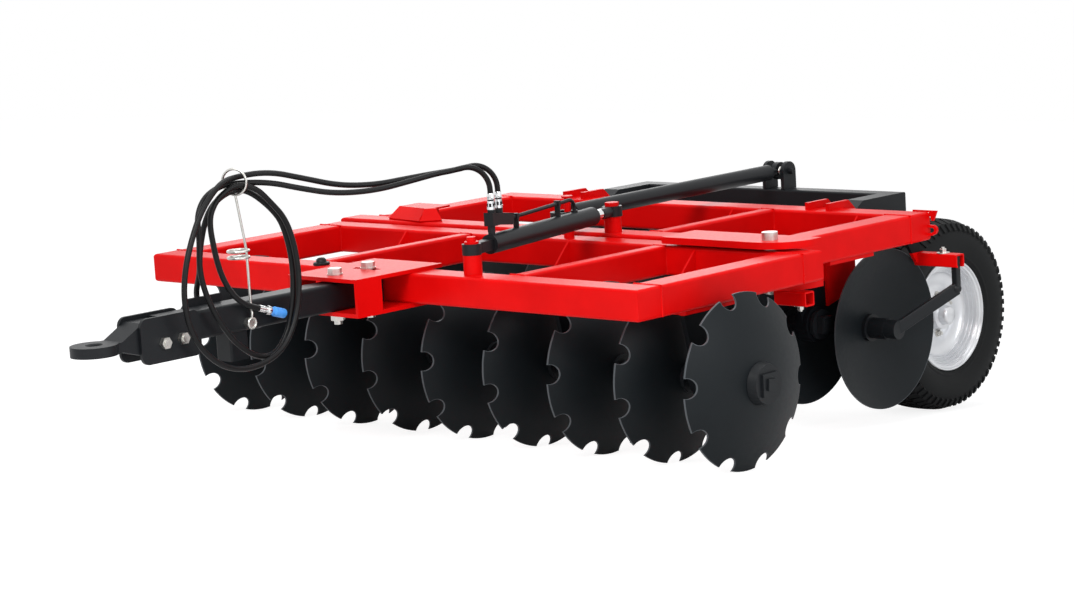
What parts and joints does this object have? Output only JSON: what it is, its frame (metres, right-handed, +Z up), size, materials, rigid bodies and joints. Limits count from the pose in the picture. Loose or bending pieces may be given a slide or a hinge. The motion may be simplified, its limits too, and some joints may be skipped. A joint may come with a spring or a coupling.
{
  "type": "disc harrow",
  "caption": "Trailed V-type disc harrow: two hinged frames over notched and plain disc gangs, a furrow disc, two lift wheels and an opening cylinder",
  "frame": {"origin": "on the floor below the middle of the machine's whole length and width", "axes": "+X the machine's left, +Y rearwards (it is towed towards -Y), +Z up; the frame itself stands 5.06 degrees nose down"},
  "size_m": [2.9264, 3.9846, 1.0218],
  "materials": {
    "red_paint": "gloss",
    "dark_paint": "satin",
    "disc_steel": "satin",
    "zinc": "zinc plated",
    "chrome": "polished",
    "rubber": "matt",
    "rim_silver": "satin",
    "hose_rubber": "matt",
    "coupler_blue": "satin"
  },
  "bodies": {
    "front_frame": {"front_frame": "red_paint", "hitch_bracket": "red_paint", "drawbar": "dark_paint", "tow_eye": "dark_paint", "hitch_bolts": "zinc", "stand_socket": "dark_paint", "front_posts": "red_paint", "front_hangers": "red_paint", "front_bearings": "dark_paint", "hose_stand": "zinc", "hose_a": "hose_rubber", "hose_b": "hose_rubber", "hose_ferrules": "chrome", "hose_couplers": "coupler_blue"},
    "rear_frame": {"rear_frame": "red_paint", "pivot_plates": "red_paint", "pivot_pin": "zinc", "rear_hangers": "red_paint", "rear_bearings": "dark_paint", "rear_post": "red_paint", "hinge_ears": "red_paint", "hinge_pins": "zinc", "furrow_bracket": "red_paint", "furrow_arm": "dark_paint", "side_stub": "red_paint", "guide_plate": "red_paint", "gang_web": "red_paint"},
    "front_gang": {"front_gang_shaft": "dark_paint", "front_discs": "disc_steel"},
    "rear_gang": {"rear_gang_shaft": "dark_paint", "rear_discs": "disc_steel"},
    "furrow_wheel": {"furrow_disc": "disc_steel", "furrow_hub": "dark_paint"},
    "wheel_frame": {"wheel_frame": "dark_paint", "stub_axles": "dark_paint", "link_clevis": "dark_paint"},
    "left_wheel": {"left_tyre": "rubber", "left_rim": "rim_silver"},
    "right_wheel": {"right_tyre": "rubber", "right_rim": "rim_silver"},
    "cylinder_barrel": {"cylinder_barrel": "dark_paint", "cylinder_pipe": "zinc"},
    "cylinder_rod": {"cylinder_rod": "chrome", "rod_eye": "dark_paint"},
    "link_ball": {"link_ball": "zinc"},
    "link_tube": {"link_tube": "dark_paint"}
  },
  "joints": [
    {"name": "v_opening", "type": "hinge", "parent": "front_frame", "child": "rear_frame", "pos_m": [1.02917, 0.27652, 0.6519], "axis": [0, 0.0882, -0.9961], "range_deg": [0, 20]},
    {"name": "front_gang_spin", "type": "hinge", "parent": "front_frame", "child": "front_gang", "pos_m": [-0.03383, -0.2399, 0.305], "axis": [1, 0, 0], "continuous": true},
    {"name": "rear_gang_spin", "type": "hinge", "parent": "rear_frame", "child": "rear_gang", "pos_m": [-0.33383, 0.80003, 0.39708], "axis": [1, 0, 0], "continuous": true},
    {"name": "furrow_disc_spin", "type": "hinge", "parent": "rear_frame", "child": "furrow_wheel", "pos_m": [0.86617, 1.07981, 0.36664], "axis": [1, 0, 0], "continuous": true},
    {"name": "wheel_lift", "type": "hinge", "parent": "rear_frame", "child": "wheel_frame", "pos_m": [-0.08883, 1.3025, 0.74274], "axis": [1, 0, 0], "range_deg": [0, 65.51]},
    {"name": "left_wheel_spin", "type": "hinge", "parent": "wheel_frame", "child": "left_wheel", "pos_m": [0.73817, 1.61384, 0.3785], "axis": [1, 0, 0], "continuous": true},
    {"name": "right_wheel_spin", "type": "hinge", "parent": "wheel_frame", "child": "right_wheel", "pos_m": [-0.91583, 1.61384, 0.3785], "axis": [1, 0, 0], "continuous": true},
    {"name": "barrel_swing", "type": "hinge", "parent": "front_frame", "child": "cylinder_barrel", "pos_m": [0.39617, -0.59332, 0.72497], "axis": [0, 0.0882, -0.9961], "range_deg": [0, 6.85]},
    {"name": "rod_slide", "type": "slide", "parent": "cylinder_barrel", "child": "cylinder_rod", "axis": [-0.2244, 0.9707, 0.0859], "range_m": [0, 0.27072]},
    {"name": "link_pitch", "type": "hinge", "parent": "wheel_frame", "child": "link_ball", "pos_m": [-0.01383, 1.59789, 0.92149], "axis": [1, 0, 0], "range_deg": [-56.45, 0]},
    {"name": "link_yaw", "type": "hinge", "parent": "link_ball", "child": "link_tube", "pos_m": [-0.01383, 1.59789, 0.92149], "axis": [0, -0.0882, 0.9961], "range_deg": [0, 2.1]}
  ],
  "couplings": [
    {"joint": "wheel_lift", "follows": "v_opening", "ratio": 3.275},
    {"joint": "barrel_swing", "follows": "v_opening", "ratio": 0.34198},
    {"joint": "rod_slide", "follows": "v_opening", "m_per_rad": 0.77527},
    {"joint": "link_pitch", "follows": "v_opening", "ratio": -2.822},
    {"joint": "link_yaw", "follows": "v_opening", "ratio": 0.1046}
  ]
}
